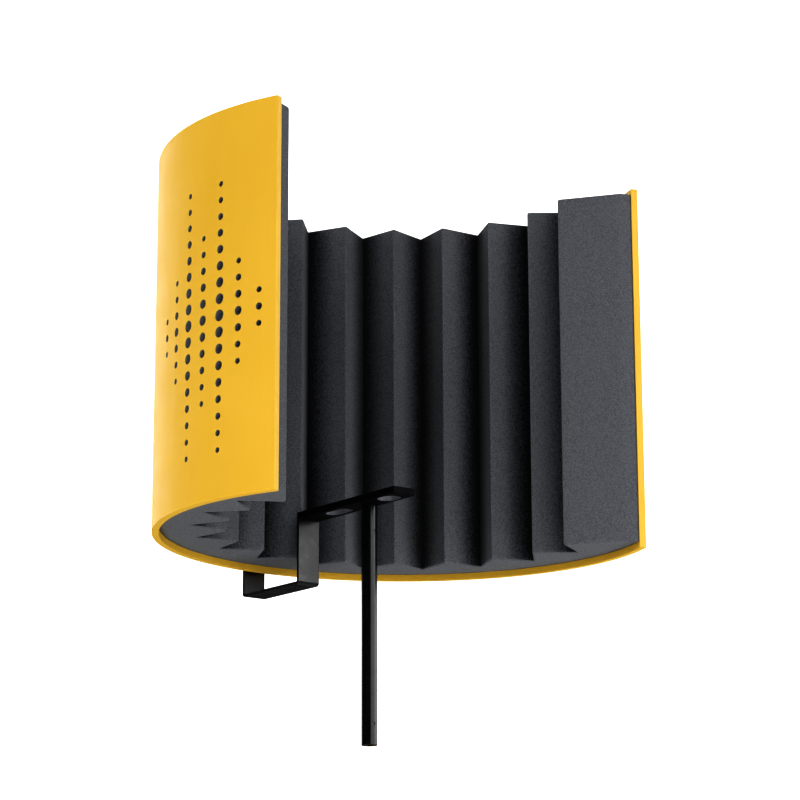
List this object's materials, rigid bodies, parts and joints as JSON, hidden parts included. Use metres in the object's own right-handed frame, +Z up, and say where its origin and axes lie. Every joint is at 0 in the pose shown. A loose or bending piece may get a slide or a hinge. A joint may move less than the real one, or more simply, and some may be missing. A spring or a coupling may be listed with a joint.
{
  "type": "portable vocal reflection shield",
  "caption": "Curved acoustic shield on a stand rod: rigid perforated shell lined with wedge foam, hung on a bent bar whose slotted arm swivels on the rod.",
  "frame": {"origin": "centre of the stand rod's lower end, at the mouth of its threaded socket", "axes": "+Z up along the rod; +Y to the closed back of the shield, so the open front faces -Y; +X to the right seen from the front"},
  "size_m": [0.5, 0.3671, 0.58],
  "materials": {
    "yellow_shell": "satin moulded",
    "black_steel": "black powder coat, semi-gloss",
    "zinc_steel": "black zinc",
    "brass": "machined",
    "black_nylon": "moulded, matte",
    "black_scrim": "woven acoustic cloth",
    "foam_tape": "white foam tape",
    "foam": "open-cell acoustic foam"
  },
  "bodies": {
    "stand": {"stand_rod": "black_steel", "base_insert": "brass", "top_plug": "zinc_steel", "pivot_screw": "zinc_steel", "spring_pins": "zinc_steel"},
    "shield": {"pivot_bush": "black_nylon", "arm_bar": "black_steel", "arm_screws": "zinc_steel", "hanger_strap": "black_steel", "lower_saddle": "black_nylon", "upper_saddle": "black_nylon", "lower_backing_plate": "zinc_steel", "upper_backing_plate": "zinc_steel", "strap_bolts": "zinc_steel", "bolt_washers": "zinc_steel", "lock_nuts": "zinc_steel", "outer_shell": "yellow_shell", "left_scrim": "black_scrim", "right_scrim": "black_scrim", "foam_tape": "foam_tape", "foam_liner": "foam"}
  },
  "joints": [
    {"name": "swivel", "type": "hinge", "parent": "stand", "child": "shield", "pos_m": [0, 0, 0.242], "axis": [0, 0, 1], "continuous": true}
  ]
}
